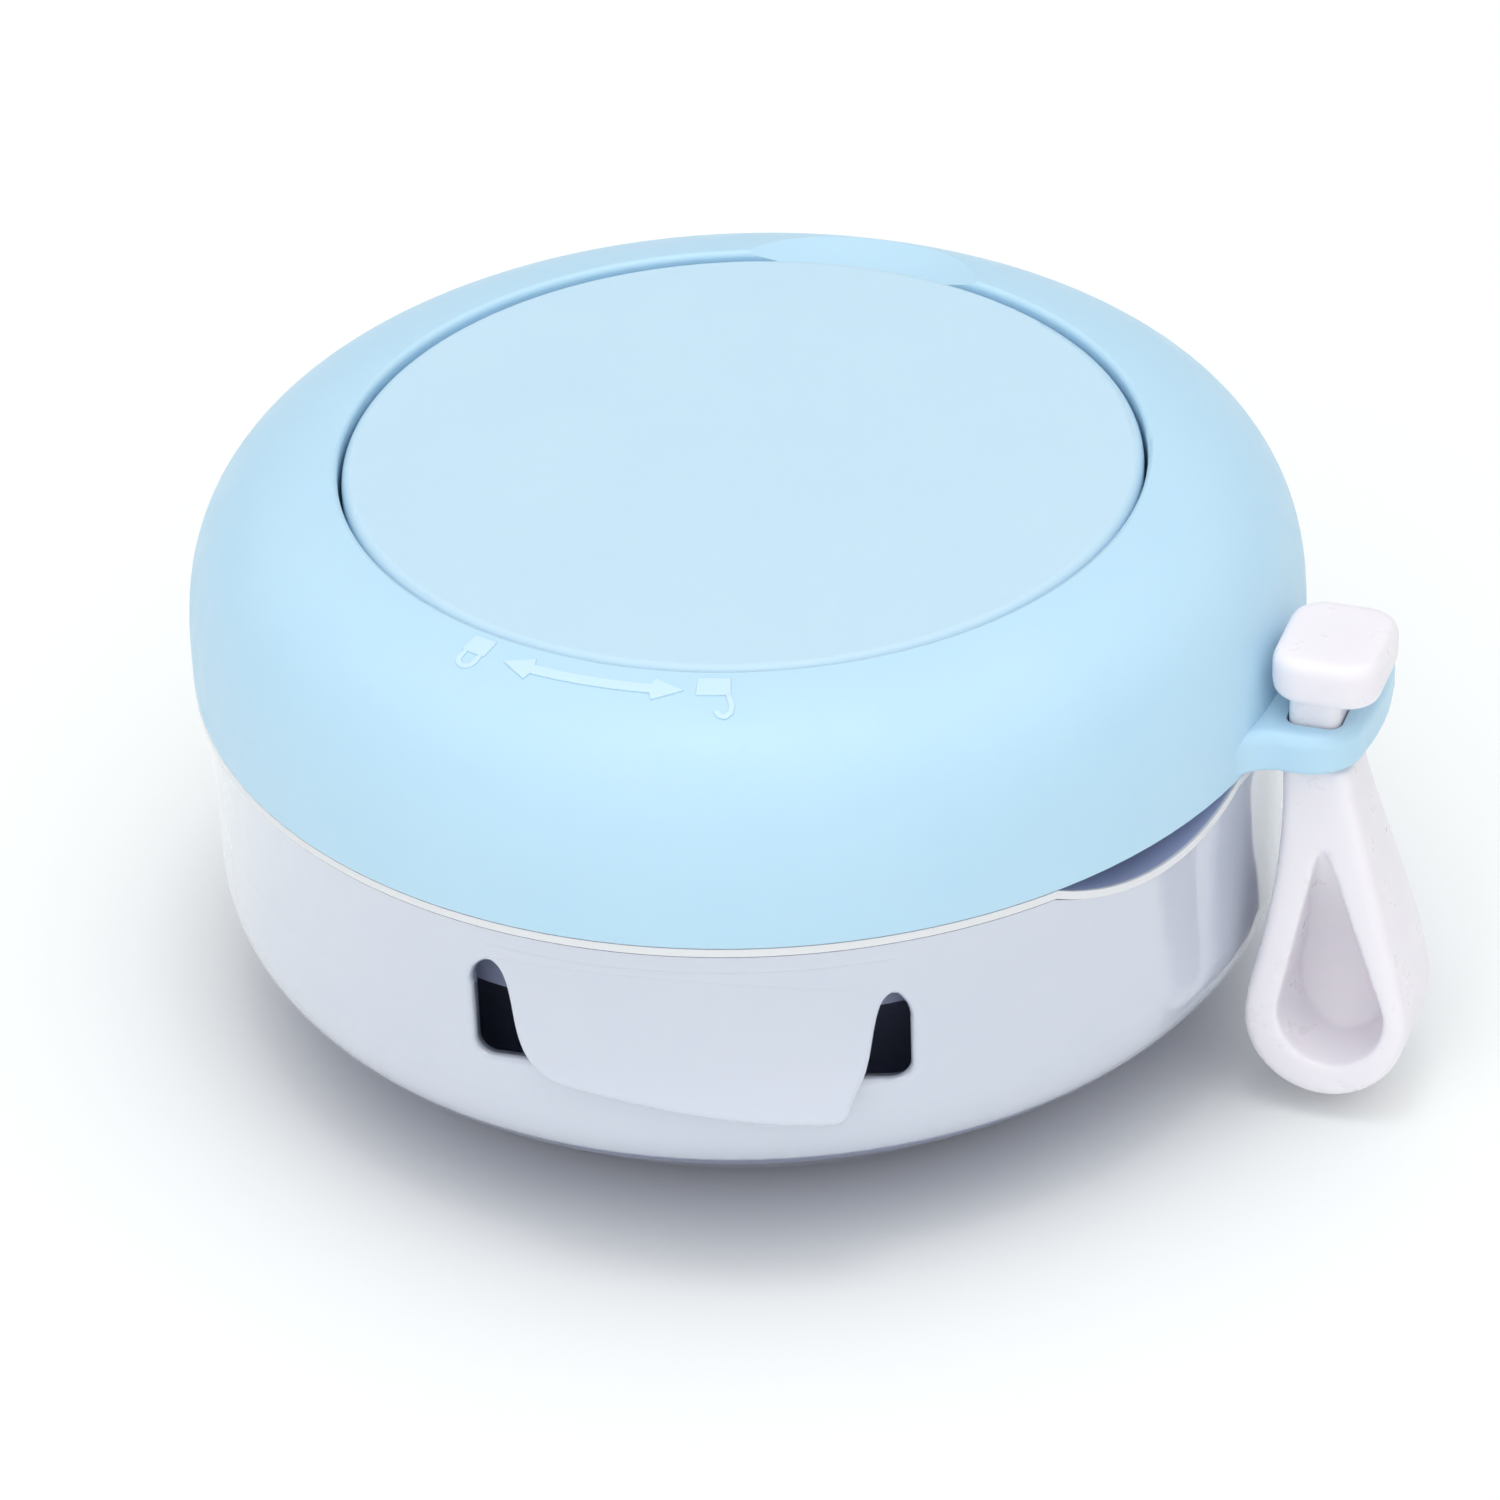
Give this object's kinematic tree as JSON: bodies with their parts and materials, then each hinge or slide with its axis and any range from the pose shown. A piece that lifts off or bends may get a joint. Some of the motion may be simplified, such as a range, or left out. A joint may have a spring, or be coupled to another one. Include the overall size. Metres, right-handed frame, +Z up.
{
  "type": "pill crusher",
  "caption": "Round hand-held pill crusher: white base with a grip visor, pale blue twist-lock lid, flat disc over a pill tray, toothed plates inside and a spoon on a hook.",
  "frame": {"origin": "middle of the foot pad's flat underside, on the table", "axes": "+Z up along the body's axis, -Y towards the grip visor, +X towards the side that carries the spoon"},
  "size_m": [0.0963, 0.0874, 0.0457],
  "materials": {
    "white_gloss_plastic": "glossy moulded white",
    "grey_silicone": "matt soft pad",
    "screw_steel": "zinc plated",
    "clear_plastic": "clear, faintly blue",
    "plate_plastic": "hard fine-matt",
    "inner_white_plastic": "satin white",
    "clear_silicone": "milky soft",
    "bush_plastic": "waxy natural acetal",
    "washer_plastic": "smooth dark",
    "spring_steel": "drawn wire",
    "shaft_steel": "ground bright",
    "blue_satin_plastic": "fine satin, pale blue",
    "inner_blue_plastic": "satin pale blue",
    "ring_periwinkle_plastic": "satin blue-violet",
    "disc_blue_plastic": "smooth satin, paler blue",
    "spoon_plastic": "milky satin white"
  },
  "bodies": {
    "base": {"base_shell": "white_gloss_plastic", "foot_pad": "grey_silicone", "bowl_screws": "screw_steel", "grinding_bowl": "clear_plastic", "lower_grinding_plate": "plate_plastic"},
    "cover": {"inner_cover": "inner_white_plastic", "cover_seal": "clear_silicone", "guide_bush": "bush_plastic", "return_spring": "spring_steel"},
    "lid": {"lid_shell": "blue_satin_plastic", "lock_ring": "ring_periwinkle_plastic", "lock_ring_screws": "screw_steel"},
    "sleeve": {"spring_sleeve": "bush_plastic", "thrust_washer": "washer_plastic"},
    "rotor": {"storage_cup": "inner_blue_plastic", "drive_shaft": "shaft_steel", "shaft_screw": "screw_steel", "upper_grinding_plate": "plate_plastic", "plate_screw": "screw_steel"},
    "disc": {"lid_disc": "disc_blue_plastic", "disc_gasket": "clear_silicone"},
    "spoon": {"spoon": "spoon_plastic"}
  },
  "joints": [
    {"name": "lid_lift", "type": "slide", "parent": "base", "child": "cover", "axis": [0, 0, 1], "range_m": [0, 0.045]},
    {"name": "lock_turn", "type": "hinge", "parent": "cover", "child": "lid", "pos_m": [0, 0, 0.03], "axis": [0, 0, 1], "range_deg": [-30, 0]},
    {"name": "press", "type": "slide", "parent": "cover", "child": "sleeve", "axis": [0, 0, 1], "range_m": [-0.0045, 0], "stiffness_N_per_m": 900, "springref_m": 0.004, "deforming": ["return_spring"]},
    {"name": "grind_turn", "type": "hinge", "parent": "sleeve", "child": "rotor", "pos_m": [0, 0, 0.034], "axis": [0, 0, 1], "continuous": true},
    {"name": "disc_lift", "type": "slide", "parent": "rotor", "child": "disc", "axis": [0, 0, 1], "range_m": [0, 0.012]},
    {"name": "spoon_slide", "type": "slide", "parent": "lid", "child": "spoon", "axis": [0.2147, 0.9767, 0], "range_m": [0, 0.02]}
  ]
}
